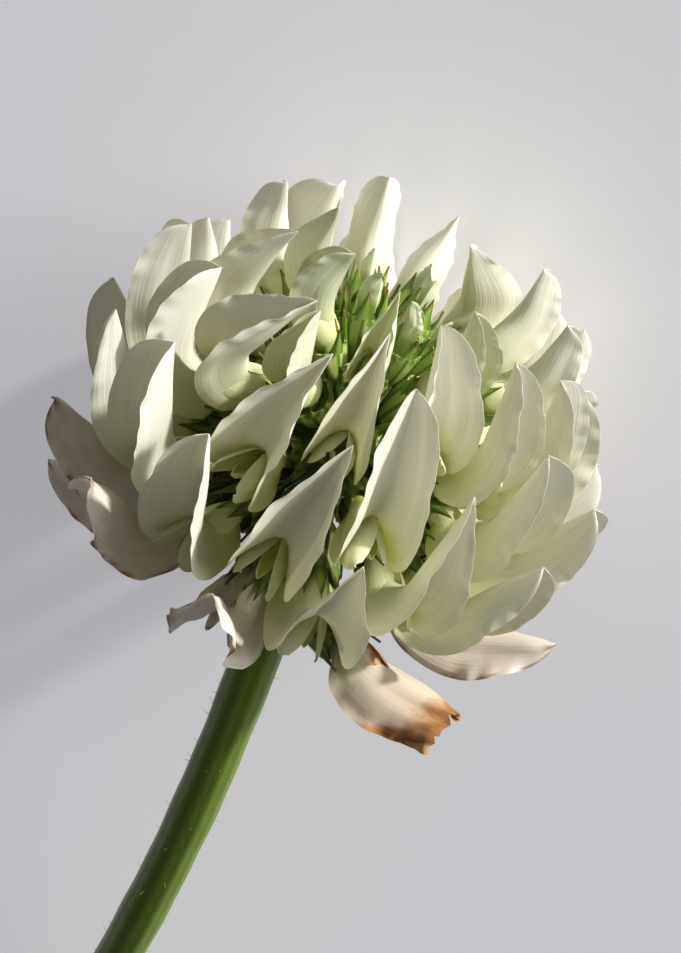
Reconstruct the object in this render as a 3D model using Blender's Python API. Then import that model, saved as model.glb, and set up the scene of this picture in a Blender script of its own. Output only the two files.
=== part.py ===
"""A picked white clover flower, lying on its side: a bare stalk and a round head of pea-like florets.

The stalk and the green head (axis, flower stalks and toothed calyces) are one solid each, and so is every
corolla. Lengths are in metres. The flower is worked out upright in its own frame, with the stalk along Z,
the crown up and the middle of the head's axis at the origin. Everything hangs from one empty, which lays
the flower down with its crown towards -Y: it rests on the end of its stalk and on two florets.
"""

import math

import bmesh
import bpy
import numpy as np
from mathutils import Matrix, Vector

MM = 0.001

# How the flower lies: the longitude that faces the ground, and the rise of the crown above level, in degrees
LIES_ON_LONGITUDE = 177.4
CROWN_RISE = 8.4

# Stalk, which sways sideways and droops towards the ground at its cut end
STEM_RADIUS = 1.08 * MM
STEM_LENGTH = 43.0 * MM
STEM_SIDES = 12
STEM_RINGS = 14
STEM_SWAY = 1.0 * MM
STEM_DROOP = 2.2 * MM

# Head axis, flower stalks and calyces. A flower stalk starts at PEDICEL_ROOT of the way to the axis's skin
AXIS_RADIUS = 1.9 * MM
AXIS_HALF_HEIGHT = 2.1 * MM
AXIS_FOOT = -3.0 * MM
PEDICEL_ROOT = 0.15
CALYX_LENGTH = 2.5 * MM
CALYX_FOOT_RADIUS = 0.45 * MM
CALYX_MOUTH_RADIUS = 1.0 * MM
TEETH = 5
TOOTH_LENGTH = 1.5 * MM
TOOTH_LEAN = math.radians(16)
TOOTH_SHARE_OF_RIM = 0.55
TOOTH_INNER_EDGE = 0.62
SEAT_GAP = 0.25 * MM

# Banner: the large upper petal, a folded blade whose grid has a row at each share of its length and a
# column at each share of its half width
BLADE_THICKNESS = 0.6 * MM
BANNER_LENGTH = 8.6 * MM
BANNER_HALF_WIDTH = 2.15 * MM
BANNER_SEAT = (0.25 * MM, 0.3 * MM)
CLAW_HALF_WIDTH = 0.5 * MM
TIP_HALF_WIDTH = 0.14 * MM
BANNER_ROWS = (0.0, 0.17, 0.36, 0.58, 0.8, 1.0)
BANNER_COLUMNS = (-1.0, -0.5, 0.0, 0.5, 1.0)

# Pod: the wings and keel, a closed pouch under the banner, with its rings' places, heights and widths
POD_LENGTH = 4.0 * MM
POD_SIDES = 6
NECK_RADIUS = 0.72 * MM
POD_SHARES = (0.0, 0.55, 1.0)
POD_HEIGHTS = (1.0, 1.3, 0.5)
POD_WIDTHS = (1.0, 0.9, 0.4)

# Each stage of a floret's life: length of its flower stalk, banner tip curl in degrees, fold of its halves
# in degrees at the shoulders and at the tip, width and length beside a full banner, bluntness of its tip,
# and droop of wings and keel in degrees
STAGES = {
    "bud": dict(stalk=2.2, curl=0, fold=80, tip_fold=80, width=0.5, length=0.2, blunt=0.8, droop=0),
    "young": dict(stalk=1.4, curl=-8, fold=70, tip_fold=76, width=0.8, length=0.6, blunt=0.9, droop=2),
    "opening": dict(stalk=2.2, curl=0, fold=60, tip_fold=72, width=0.74, length=0.62, blunt=0.9, droop=6),
    "upper": dict(stalk=0.8, curl=2, fold=62, tip_fold=74, width=1.04, length=0.8, blunt=0.9, droop=12),
    "middle": dict(stalk=1.1, curl=2, fold=56, tip_fold=72, width=1.08, length=0.95, blunt=0.9, droop=12),
    "lower": dict(stalk=1.5, curl=-4, fold=52, tip_fold=62, width=1.08, length=0.94, blunt=0.7, droop=10),
    "aged": dict(stalk=2.0, curl=-8, fold=46, tip_fold=54, width=1.1, length=0.82, blunt=0.55, droop=8),
    "withered": dict(stalk=4.6, curl=-10, fold=50, tip_fold=56, width=1.15, length=0.74, blunt=0.6, droop=4),
}

# Rows of florets from the crown down: stage, angle from the crown of their axis and of their banner, how
# far they are twisted about their axis, and longitudes, all in degrees
ROWS = (
    ("bud", 14, 10, 0, (80, -150)),
    ("bud", 28, 22, 0, (110, 145, 178, -142)),
    ("young", 20, 6, 0, (-20,)),
    ("young", 34, 4, 0, (-52, -84, -116)),
    ("young", 40, 10, 0, (78,)),
    ("middle", 56, -18, -8, (-27,)),
    ("upper", 58, 2, 0, (12,)),
    ("upper", 64, -4, 0, (45,)),
    ("upper", 60, 2, 0, (76,)),
    ("opening", 54, 20, 0, (106, 130, 152, 173, -166, -146)),
    ("upper", 62, -8, 0, (-98,)),
    ("upper", 65, -14, 0, (-78, -60)),
    ("opening", 66, 16, 0, (-122,)),
    ("middle", 92, 4, -8, (-2,)),
    ("middle", 94, 14, 4, (22,)),
    ("middle", 95, 0, -8, (45,)),
    ("middle", 72, 2, 0, (66,)),
    ("middle", 77, 2, 0, (92, 116, 141, 166, -169, -144)),
    ("middle", 86, 14, 0, (-104, -78)),
    ("middle", 86, 10, 0, (-47,)),
    ("lower", 98, 16, 0, (-25,)),
    ("lower", 111, 18, 0, (16,)),
    ("lower", 103, 27, 0, (68, 92, 117, 143, -162, -138, -114)),
    ("lower", 103, 4, 0, (178,)),
    ("aged", 117, 30, 0, (-14,)),
    ("aged", 110, 50, 0, (-80,)),
    ("aged", 108, 36, 0, (-45,)),
    ("aged", 117, 56, 0, (68, 108)),
    ("aged", 126, 8, 0, (-165,)),
    ("aged", 124, 80, 0, (-88,)),
)
# The one floret that has withered hangs on a longer stalk, which leaves the head at a place of its own
HANGING = dict(polar=98, longitude=74, banner_polar=84, stalk_polar=130, stalk_longitude=12)
FAR_SIDE_SHORTER = 0.14
SEED = 7
LENGTH_VARIES = 0.05
WIDTH_VARIES = 0.05
LEAN_VARIES = 4.0
TWIST_VARIES = 5.0


def unit(vector):
    return vector / np.linalg.norm(vector)


def direction(polar, longitude):
    """Unit vector at an angle from the crown and a longitude, in the flower's own frame."""
    return np.array([
        math.sin(polar) * math.cos(longitude),
        math.sin(polar) * math.sin(longitude),
        math.cos(polar),
    ])


def smooth(t):
    """0 to 1 with level ends, for t from 0 to 1."""
    t = np.clip(t, 0.0, 1.0)
    return t * t * (3 - 2 * t)


def floret_frame(floret):
    """A floret's forward, sideways and crownward directions as a matrix's columns, and its calyx's foot."""
    axis = floret["axis"]
    level = unit(np.cross([0.0, 0.0, 1.0], axis))
    steep = np.cross(axis, level)
    twist = math.radians(floret["twist"])
    side = level * math.cos(twist) + steep * math.sin(twist)
    stalk = floret.get("stalk_axis", axis)
    root = stalk * np.array([AXIS_RADIUS, AXIS_RADIUS, AXIS_HALF_HEIGHT]) * 0.9
    return np.column_stack([axis, side, np.cross(axis, side)]), root + stalk * floret["stalk"] * MM


def placed(points, floret):
    """Points of a floret's own frame in the flower's frame."""
    frame, foot = floret_frame(floret)
    return points @ frame.T + foot


def midrib(floret, steps=48):
    """Arc lengths, points and slopes of a banner's midrib in the plane of forward and crownward."""
    length = BANNER_LENGTH * floret["length"]
    s = np.linspace(0.0, length, steps)
    lift = math.radians(floret["lift"]) * smooth((s / BANNER_LENGTH - 0.04) / 0.36)
    curl = math.radians(floret["curl"]) * smooth((s / length - 0.5) / 0.5)
    angle = lift + curl
    step = length / (steps - 1)
    x = np.concatenate([[0.0], np.cumsum((np.cos(angle[1:]) + np.cos(angle[:-1])) / 2 * step)])
    z = np.concatenate([[0.0], np.cumsum((np.sin(angle[1:]) + np.sin(angle[:-1])) / 2 * step)])
    start = CALYX_LENGTH + SEAT_GAP + BANNER_SEAT[0]
    return s, x + start, z + BANNER_SEAT[1], angle


def banner_half_width(t, floret):
    """Half width of the flattened banner at a share t of its length: claw, round shoulders, pointed tip."""
    full = BANNER_HALF_WIDTH * floret["width"]
    shoulder = CLAW_HALF_WIDTH + (full - CLAW_HALF_WIDTH) * smooth((t - 0.06) / 0.28)
    taper = max(1 - max((t - 0.34) / 0.66, 0) ** 2.0, 0.0) ** floret["blunt"]
    return max(shoulder * taper, TIP_HALF_WIDTH)


def banner_grid(floret, along, across):
    """Points of the banner's inner face, one row for each share along, one column for each share across."""
    s, x, z, angle = midrib(floret)
    rows = []
    for t in along:
        at = t * s[-1]
        mx, mz, ma = (np.interp(at, s, values) for values in (x, z, angle))
        width = banner_half_width(t, floret)
        fold = math.radians(floret["fold"] + (floret["tip_fold"] - floret["fold"]) * smooth((t - 0.35) / 0.6))
        row = []
        for v in across:
            sideways = math.copysign(abs(v) ** 0.85, v) * width * math.cos(fold)
            below = abs(v) ** 1.25 * width * math.sin(fold)
            row.append([mx + below * math.sin(ma), sideways, mz - below * math.cos(ma)])
        rows.append(row)
    return np.array(rows)


def outward_normals(grid):
    """Unit normals of a banner's grid, on the side that faces the crown at its claw."""
    along = np.gradient(grid, axis=0)
    across = np.gradient(grid, axis=1)
    normals = np.cross(along, across)
    normals *= math.copysign(1.0, normals[0, grid.shape[1] // 2, 2])
    return normals / np.linalg.norm(normals, axis=2, keepdims=True)


def blade_faces(rows, columns):
    """Triangles of a closed blade: an inner and an outer grid split alike, and the rim between them."""
    def inner(i, j):
        return i * columns + j

    def outer(i, j):
        return rows * columns + i * columns + j

    faces = []
    for i in range(rows - 1):
        for j in range(columns - 1):
            a, b, c, d = (i, j), (i + 1, j), (i + 1, j + 1), (i, j + 1)
            for p, q, r in ((a, b, c), (a, c, d)):
                faces.append((inner(*p), inner(*q), inner(*r)))
                faces.append((outer(*p), outer(*r), outer(*q)))
    rim = [(i, 0) for i in range(rows - 1)]
    rim += [(rows - 1, j) for j in range(columns - 1)]
    rim += [(i, columns - 1) for i in range(rows - 1, 0, -1)]
    rim += [(0, j) for j in range(columns - 1, 0, -1)]
    for here, there in zip(rim, rim[1:] + rim[:1]):
        faces.append((inner(*here), outer(*here), outer(*there)))
        faces.append((inner(*here), outer(*there), inner(*there)))
    return faces


def banner_blade(floret):
    """The banner as a blade BLADE_THICKNESS thick, grown outwards from its inner face."""
    grid = banner_grid(floret, BANNER_ROWS, BANNER_COLUMNS)
    outside = grid + outward_normals(grid) * BLADE_THICKNESS
    points = np.concatenate([grid.reshape(-1, 3), outside.reshape(-1, 3)])
    return points, blade_faces(len(BANNER_ROWS), len(BANNER_COLUMNS))


def pod_rings(floret):
    """Centre, half height and half width of each ring of the wings and keel."""
    length = POD_LENGTH * floret["length"]
    droop = math.radians(floret["droop"])
    rings = []
    for share, height, width in zip(POD_SHARES, POD_HEIGHTS, POD_WIDTHS):
        x = CALYX_LENGTH + SEAT_GAP + share * length * math.cos(droop)
        z = -share * share * length * math.sin(droop)
        rings.append((x, z, height * NECK_RADIUS, width * NECK_RADIUS))
    return rings


def tube_faces(rings, sides):
    """Faces of a closed tube whose points run ring by ring."""
    faces = []
    for ring in range(rings - 1):
        for k in range(sides):
            a, b = ring * sides + k, ring * sides + (k + 1) % sides
            faces.append((a, a + sides, b + sides, b))
    faces.append(tuple(range(sides)))
    faces.append(tuple(rings * sides - 1 - k for k in range(sides)))
    return faces


def pod_mesh(floret):
    points = []
    for x, z, height, width in pod_rings(floret):
        for k in range(POD_SIDES):
            turn = 2 * math.pi * k / POD_SIDES
            points.append([x, width * math.cos(turn), z + height * math.sin(turn)])
    return np.array(points), tube_faces(len(POD_SHARES), POD_SIDES)


def calyx_mesh(floret):
    """A flower stalk and a calyx with five leaning teeth, closed, from a point inside the head's axis."""
    frame, foot = floret_frame(floret)
    points = [frame.T @ (PEDICEL_ROOT * foot - foot)]
    faces = []
    for k in range(TEETH):
        turn = 2 * math.pi * k / TEETH
        points.append([0.0, CALYX_FOOT_RADIUS * math.sin(turn), CALYX_FOOT_RADIUS * math.cos(turn)])
    half_tooth = math.pi / TEETH * TOOTH_SHARE_OF_RIM
    for k in range(TEETH):
        turn = 2 * math.pi * (k + 0.5) / TEETH
        rim = CALYX_MOUTH_RADIUS
        for at in (turn - half_tooth, turn + half_tooth):
            points.append([CALYX_LENGTH, rim * math.sin(at), rim * math.cos(at)])
        inner = rim * TOOTH_INNER_EDGE
        points.append([CALYX_LENGTH, inner * math.sin(turn), inner * math.cos(turn)])
        reach = CALYX_MOUTH_RADIUS + TOOTH_LENGTH * math.sin(TOOTH_LEAN)
        tip = CALYX_LENGTH + TOOTH_LENGTH * math.cos(TOOTH_LEAN)
        points.append([tip, reach * math.sin(turn), reach * math.cos(turn)])
    cap = []
    for k in range(TEETH):
        here, after = 1 + k, 1 + (k + 1) % TEETH
        left, right, inside, tip = (1 + TEETH + 4 * k + i for i in range(4))
        left_after = 1 + TEETH + 4 * ((k + 1) % TEETH)
        faces += [(0, here, after), (here, left, right), (here, right, after), (after, right, left_after)]
        faces += [(left, tip, right), (right, tip, inside), (inside, tip, left)]
        cap += [left, inside, right]
    faces.append(tuple(cap))
    return np.array(points), faces


def corolla_balls(floret):
    """Balls that stand for one corolla while the florets shoulder each other apart: centres and radii."""
    along = (0.16, 0.28, 0.4, 0.52, 0.64, 0.76, 0.88, 1.0)
    across = (-1.0, -0.5, 0.0, 0.5, 1.0)
    grid = banner_grid(floret, along, across)
    blade = (grid + outward_normals(grid) * BLADE_THICKNESS / 2).reshape(-1, 3)
    _, wide, end = np.array(pod_rings(floret))
    rings = np.array([wide, (wide + end) / 2, end])
    pod = np.column_stack([rings[:, 0], np.zeros(3), rings[:, 1]])
    return np.concatenate([blade, pod]), np.concatenate([np.full(len(blade), 0.48 * MM), rings[:, 2]])


def calyx_balls():
    """Balls that stand for a calyx and its teeth: centres and radii."""
    balls = [[0.5 * CALYX_LENGTH, 0.0, 0.0], [0.85 * CALYX_LENGTH, 0.0, 0.0]]
    radii = [0.8 * MM, CALYX_MOUTH_RADIUS]
    for k in range(TEETH):
        turn = 2 * math.pi * (k + 0.5) / TEETH
        ring = CALYX_MOUTH_RADIUS + 0.6 * TOOTH_LENGTH * math.sin(TOOTH_LEAN)
        balls.append([CALYX_LENGTH + 0.6 * TOOTH_LENGTH, ring * math.sin(turn), ring * math.cos(turn)])
        radii.append(0.3 * MM)
    return np.array(balls), np.array(radii)


def near_pairs(centres, radii, rivals, slack):
    """The pairs among the rivals that are too close or may soon be."""
    first, second = rivals
    distance = np.linalg.norm(centres[first] - centres[second], axis=1)
    close = distance < radii[first] + radii[second] + slack
    return first[close], second[close]


def settle(florets, rounds=320, clearance=0.35 * MM, hold=0.06):
    """Lets the florets swell to size and push each other aside, held loosely to their own places.

    Each push turns a floret's axis about the middle of the head and twists it a little about that axis.
    """
    wanted = [(floret["axis"].copy(), floret["twist"]) for floret in florets]
    shapes = [corolla_balls(floret) for floret in florets]
    green = calyx_balls()
    balls = [np.concatenate([shape[0], green[0]]) for shape in shapes]
    radii = np.concatenate([np.concatenate([shape[1], green[1]]) for shape in shapes])
    owner = np.concatenate([np.full(len(ball), i) for i, ball in enumerate(balls)])
    petal = np.concatenate([np.arange(len(ball)) < len(shape[0]) for ball, shape in zip(balls, shapes)])
    first, second = np.triu_indices(len(radii), 1)
    keep = (owner[first] != owner[second]) & (petal[first] | petal[second])
    rivals = first[keep], second[keep]
    for step in range(rounds):
        swelling = min(1.0, 0.3 + step / (0.5 * rounds))
        loose = max(0.0, 1 - step / (0.7 * rounds))
        centres = np.concatenate([placed(ball, floret) for ball, floret in zip(balls, florets)])
        if step % 15 == 0:
            first, second = near_pairs(centres, radii, rivals, 1.5 * MM)
        apart = centres[first] - centres[second]
        distance = np.linalg.norm(apart, axis=1) + 1e-9
        press = np.maximum(swelling * (radii[first] + radii[second] + clearance) - distance, 0.0)
        force = apart / distance[:, None] * press[:, None]
        on_ball = np.zeros_like(centres)
        np.add.at(on_ball, first, force)
        np.add.at(on_ball, second, -force)
        lever = np.linalg.norm(centres, axis=1)
        shove = np.zeros((len(florets), 3))
        np.add.at(shove, owner, on_ball / lever[:, None])
        for i, (floret, (home, straight)) in enumerate(zip(florets, wanted)):
            if "stalk_axis" in floret:
                continue
            mine = owner == i
            axis = floret["axis"]
            arm = centres[mine] - np.outer(centres[mine] @ axis, axis)
            turning = (np.cross(arm, on_ball[mine]) @ axis).sum() / (2.5 * MM) ** 2
            floret["twist"] += math.degrees(0.03 * turning) + hold * (straight - floret["twist"])
            push = 0.08 * shove[i]
            push *= min(1.0, 0.02 / (np.linalg.norm(push) + 1e-9))
            floret["axis"] = unit(axis + push + hold * loose * (home - axis))


def all_florets():
    """Every floret of the head with its own small differences, in its settled place."""
    rng = np.random.default_rng(SEED)
    places = [row[:4] + (longitude,) for row in ROWS for longitude in row[4]]
    places.append(("withered", HANGING["polar"], HANGING["banner_polar"], 0, HANGING["longitude"]))
    florets = []
    for stage, polar, banner_polar, twist, longitude in places:
        floret = dict(STAGES[stage], stage=stage)
        floret["axis"] = direction(math.radians(polar), math.radians(longitude))
        floret["length"] *= 1 - FAR_SIDE_SHORTER * (1 - math.cos(math.radians(longitude))) / 2
        floret["length"] *= 1 + rng.uniform(-LENGTH_VARIES, LENGTH_VARIES)
        floret["width"] *= 1 + rng.uniform(-WIDTH_VARIES, WIDTH_VARIES)
        floret["lift"] = polar - banner_polar + rng.uniform(-LEAN_VARIES, LEAN_VARIES)
        floret["twist"] = twist + rng.uniform(-TWIST_VARIES, TWIST_VARIES)
        florets.append(floret)
    florets[-1]["stalk_axis"] = direction(
        math.radians(HANGING["stalk_polar"]), math.radians(HANGING["stalk_longitude"])
    )
    settle(florets)
    return florets


def new_object(name, points, faces, material):
    """A closed object of triangles with its faces pointing out."""
    mesh = bpy.data.meshes.new(name)
    mesh.from_pydata([tuple(p) for p in points], [], faces)
    body = bmesh.new()
    body.from_mesh(mesh)
    bmesh.ops.recalc_face_normals(body, faces=body.faces)
    bmesh.ops.triangulate(body, faces=body.faces)
    body.to_mesh(mesh)
    body.free()
    mesh.materials.append(material)
    made = bpy.data.objects.new(name, mesh)
    bpy.context.scene.collection.objects.link(made)
    return made


def joined(target, others):
    """target with the others fused into it by one Boolean, which is applied."""
    tools = bpy.data.collections.new("joined_" + target.name)
    for other in others:
        bpy.context.scene.collection.objects.unlink(other)
        tools.objects.link(other)
    fuse = target.modifiers.new("fuse", "BOOLEAN")
    fuse.operation = "UNION"
    fuse.operand_type = "COLLECTION"
    fuse.collection = tools
    fuse.solver = "EXACT"
    bpy.context.view_layer.update()
    graph = bpy.context.evaluated_depsgraph_get()
    mesh = bpy.data.meshes.new_from_object(target.evaluated_get(graph))
    target.modifiers.clear()
    target.data = mesh
    for other in others:
        bpy.data.objects.remove(other)
    bpy.data.collections.remove(tools)
    return target


def plant_material(name, colour, roughness):
    material = bpy.data.materials.new(name)
    material.use_nodes = True
    shader = material.node_tree.nodes["Principled BSDF"]
    shader.inputs["Base Color"].default_value = (*colour, 1.0)
    shader.inputs["Roughness"].default_value = roughness
    shader.inputs["Metallic"].default_value = 0.0
    return material


def build_stem(material):
    points = []
    for ring in range(STEM_RINGS):
        share = ring / (STEM_RINGS - 1)
        centre = Vector((
            -STEM_DROOP * share * share,
            STEM_SWAY * math.sin(math.pi * share),
            AXIS_FOOT - SEAT_GAP - STEM_LENGTH * share,
        ))
        for k in range(STEM_SIDES):
            turn = 2 * math.pi * k / STEM_SIDES
            points.append(centre + STEM_RADIUS * Vector((math.cos(turn), math.sin(turn), 0)))
    stem = new_object("stem", points, tube_faces(STEM_RINGS, STEM_SIDES), material)
    stem.data.shade_smooth()
    stem.data.set_sharp_from_angle(angle=math.radians(40))
    return stem


def axis_foot(material):
    """The short neck of the head's axis, which the stalk carries."""
    points = []
    for height in (AXIS_FOOT, -AXIS_HALF_HEIGHT * 0.5):
        for k in range(STEM_SIDES):
            turn = 2 * math.pi * k / STEM_SIDES
            points.append([STEM_RADIUS * math.cos(turn), STEM_RADIUS * math.sin(turn), height])
    return new_object("axis_foot", points, tube_faces(2, STEM_SIDES), material)


def build_green_head(florets, material):
    """The head's axis with every flower stalk and calyx fused to it."""
    core = bmesh.new()
    bmesh.ops.create_icosphere(core, subdivisions=1, radius=1.0)
    core.transform(Matrix.Diagonal((AXIS_RADIUS, AXIS_RADIUS, AXIS_HALF_HEIGHT, 1.0)))
    mesh = bpy.data.meshes.new("head_axis")
    core.to_mesh(mesh)
    core.free()
    mesh.materials.append(material)
    axis = bpy.data.objects.new("head_axis_and_calyces", mesh)
    bpy.context.scene.collection.objects.link(axis)
    grown = [axis_foot(material)]
    for number, floret in enumerate(florets, 1):
        points, faces = calyx_mesh(floret)
        grown.append(new_object(f"calyx_{number:02d}", placed(points, floret), faces, material))
    return joined(axis, grown)


def build_corolla(number, floret, material):
    blade, blade_triangles = banner_blade(floret)
    pod, pod_faces = pod_mesh(floret)
    name = f"corolla_{floret['stage']}_{number:02d}"
    body = new_object(name, placed(pod, floret), pod_faces, material)
    banner = new_object("banner", placed(blade, floret), blade_triangles, material)
    return joined(body, [banner])


def lay_down(flower, nodes):
    """Turns and places the empty that carries the nodes, so that the flower rests on the ground.

    The origin ends up at the middle of the bottom of the whole flower's box.
    """
    up = -direction(math.radians(90 + CROWN_RISE), math.radians(LIES_ON_LONGITUDE))
    crown = np.array([0.0, 0.0, 1.0])
    back = unit(crown @ up * up - crown)
    turned = np.array([np.cross(back, up), back, up])
    corners = np.concatenate([[v.co[:] for v in node.data.vertices] for node in nodes]) @ turned.T
    low, high = corners.min(axis=0), corners.max(axis=0)
    middle = (low + high) / 2
    flower.matrix_world = Matrix.Translation((-middle[0], -middle[1], -low[2])) @ Matrix(turned).to_4x4()


def main():
    for old in list(bpy.data.objects):
        bpy.data.objects.remove(old)
    green = plant_material("calyx_green", (0.17, 0.30, 0.06), 0.55)
    stalk = plant_material("stalk_green", (0.14, 0.27, 0.04), 0.5)
    petal = plant_material("petal_white", (0.82, 0.83, 0.70), 0.6)
    brown = plant_material("petal_withered", (0.50, 0.30, 0.16), 0.75)
    florets = all_florets()
    nodes = [build_stem(stalk), build_green_head(florets, green)]
    for number, floret in enumerate(florets, 1):
        nodes.append(build_corolla(number, floret, brown if floret["stage"] == "withered" else petal))
    flower = bpy.data.objects.new("flower", None)
    bpy.context.scene.collection.objects.link(flower)
    for node in nodes:
        node.parent = flower
    lay_down(flower, nodes)


main()
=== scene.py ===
"""The looks of a picked white clover flower that lies on its side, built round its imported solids.

Every corolla becomes a thin folded banner with two wings and a keel, the green head gets ribbed calyces
with long teeth, and the stalk its ridges and hairs. Lengths are in metres. A floret has its own frame
(forward, sideways, crownward), the flower has one (crown along Z), and the empty world is the frame's.
"""

import math

import bpy
import numpy as np
from mathutils import Matrix, Vector

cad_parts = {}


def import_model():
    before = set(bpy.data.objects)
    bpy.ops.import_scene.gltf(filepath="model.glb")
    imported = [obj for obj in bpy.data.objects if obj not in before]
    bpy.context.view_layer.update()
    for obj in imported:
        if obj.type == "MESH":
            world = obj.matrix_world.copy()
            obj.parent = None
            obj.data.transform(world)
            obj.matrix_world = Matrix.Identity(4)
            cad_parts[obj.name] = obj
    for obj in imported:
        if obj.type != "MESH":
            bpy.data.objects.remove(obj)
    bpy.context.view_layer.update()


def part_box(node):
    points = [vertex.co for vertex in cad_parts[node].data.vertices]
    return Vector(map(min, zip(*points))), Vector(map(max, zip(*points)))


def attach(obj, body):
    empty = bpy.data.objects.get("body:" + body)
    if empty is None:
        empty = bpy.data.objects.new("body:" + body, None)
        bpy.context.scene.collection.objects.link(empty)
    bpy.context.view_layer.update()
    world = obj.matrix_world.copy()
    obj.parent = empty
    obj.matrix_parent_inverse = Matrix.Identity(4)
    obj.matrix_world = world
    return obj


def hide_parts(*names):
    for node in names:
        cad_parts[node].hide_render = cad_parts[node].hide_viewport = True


MM = 0.001

# How the flower lies, in degrees, as in the solids
LIES_ON_LONGITUDE = 177.4
CROWN_RISE = 8.4

# The camera in the flower's frame: its angle from the crown at longitude 0, the roll that leans the crown to
# the right in the picture, its distance, and what the picture shows of the flower
CAMERA_FROM_CROWN = 48.0
CAMERA_ROLL = 25.0
CAMERA_DISTANCE = 180 * MM
PICTURE_HEIGHT = 39.06 * MM
HEAD_LEFT_OF_CENTRE = 0.225 * MM
HEAD_ABOVE_CENTRE = 1.086 * MM
SENSOR = 36.0

# Stalk
STEM_RADIUS = 1.08 * MM
STEM_LENGTH = 43.0 * MM
STEM_SIDES = 12
STEM_RINGS = 14
STEM_SWAY = 1.0 * MM
STEM_DROOP = 2.2 * MM

# Head axis, flower stalks and calyces
AXIS_RADIUS = 1.9 * MM
AXIS_HALF_HEIGHT = 2.1 * MM
AXIS_FOOT = -3.0 * MM
CALYX_LENGTH = 2.5 * MM
CALYX_MOUTH_RADIUS = 1.0 * MM
TEETH = 5
TOOTH_LENGTH = 1.5 * MM
TOOTH_LEAN = math.radians(16)
SEAT_GAP = 0.25 * MM

# Banner and pod of the solids, whose places the fine petals keep
BLADE_THICKNESS = 0.6 * MM
BANNER_LENGTH = 8.6 * MM
BANNER_HALF_WIDTH = 2.15 * MM
BANNER_SEAT = (0.25 * MM, 0.3 * MM)
CLAW_HALF_WIDTH = 0.5 * MM
TIP_HALF_WIDTH = 0.14 * MM
# Where its fold begins to change towards the tip and over what share of the length
CLOSES_FROM = 0.35
CLOSES_OVER = 0.6
# Powers of the share across that shape each folded half, sideways and downwards
SIDEWAYS_POWER = 0.85
DOWNWARDS_POWER = 1.25
POD_LENGTH = 4.0 * MM
NECK_RADIUS = 0.72 * MM
POD_SHARES = (0.0, 0.55, 1.0)
POD_HEIGHTS = (1.0, 1.3, 0.5)
POD_WIDTHS = (1.0, 0.9, 0.4)

# Each stage of a floret's life: length of its flower stalk in millimetres, curl of its banner's tip and fold
# of its halves at the shoulders and at the tip in degrees, width and length beside a full banner, bluntness
# of its tip, droop of wings and keel in degrees, and age and openness from 0 to 1
STAGE_VALUES = ("stalk", "curl", "fold", "tip_fold", "width", "length", "blunt", "droop", "age", "open")
STAGES = {
    "bud": (2.2, 0, 80, 80, 0.5, 0.2, 0.8, 0, 0.0, 0.0),
    "young": (1.4, -8, 70, 76, 0.8, 0.6, 0.9, 2, 0.12, 0.1),
    "opening": (2.2, 0, 60, 72, 0.74, 0.62, 0.9, 6, 0.28, 0.2),
    "upper": (0.8, 2, 62, 74, 1.04, 0.8, 0.9, 12, 0.35, 0.6),
    "middle": (1.1, 2, 56, 72, 1.08, 0.95, 0.9, 12, 0.42, 1.0),
    "lower": (1.5, -4, 52, 62, 1.08, 0.94, 0.7, 10, 0.52, 1.0),
    "aged": (2.0, -8, 46, 54, 1.1, 0.82, 0.55, 8, 0.85, 0.8),
    "withered": (4.6, -10, 50, 56, 1.15, 0.74, 0.6, 4, 1.0, 0.3),
}

# Rows of florets from the crown down: stage, angle from the crown of their axis and of their banner, how
# far they are twisted about their axis, and longitudes, all in degrees
ROWS = (
    ("bud", 14, 10, 0, (80, -150)),
    ("bud", 28, 22, 0, (110, 145, 178, -142)),
    ("young", 20, 6, 0, (-20,)),
    ("young", 34, 4, 0, (-52, -84, -116)),
    ("young", 40, 10, 0, (78,)),
    ("middle", 56, -18, -8, (-27,)),
    ("upper", 58, 2, 0, (12,)),
    ("upper", 64, -4, 0, (45,)),
    ("upper", 60, 2, 0, (76,)),
    ("opening", 54, 20, 0, (106, 130, 152, 173, -166, -146)),
    ("upper", 62, -8, 0, (-98,)),
    ("upper", 65, -14, 0, (-78, -60)),
    ("opening", 66, 16, 0, (-122,)),
    ("middle", 92, 4, -8, (-2,)),
    ("middle", 94, 14, 4, (22,)),
    ("middle", 95, 0, -8, (45,)),
    ("middle", 72, 2, 0, (66,)),
    ("middle", 77, 2, 0, (92, 116, 141, 166, -169, -144)),
    ("middle", 86, 14, 0, (-104, -78)),
    ("middle", 86, 10, 0, (-47,)),
    ("lower", 98, 16, 0, (-25,)),
    ("lower", 111, 18, 0, (16,)),
    ("lower", 103, 27, 0, (68, 92, 117, 143, -162, -138, -114)),
    ("lower", 103, 4, 0, (178,)),
    ("aged", 117, 30, 0, (-14,)),
    ("aged", 110, 50, 0, (-80,)),
    ("aged", 108, 36, 0, (-45,)),
    ("aged", 117, 56, 0, (68, 108)),
    ("aged", 126, 8, 0, (-165,)),
    ("aged", 124, 80, 0, (-88,)),
)
# The one floret that has withered hangs on a longer stalk, which leaves the head at a place of its own
HANGING = dict(polar=98, longitude=74, banner_polar=84, stalk_polar=130, stalk_longitude=12)
FAR_SIDE_SHORTER = 0.14
SEED = 7
LENGTH_VARIES = 0.05
WIDTH_VARIES = 0.05
LEAN_VARIES = 4.0
TWIST_VARIES = 5.0

# Fine petals: thickness in the middle, the share of it that is lost at the margins, rows and columns
PETAL_THICKNESS = 0.07 * MM
MARGIN_THINNING = 0.85
BANNER_GRID = (48, 25)
ROW_CROWDING = 1.25
WING_GRID = (20, 9)
KEEL_GRID = (16, 11)

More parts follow.
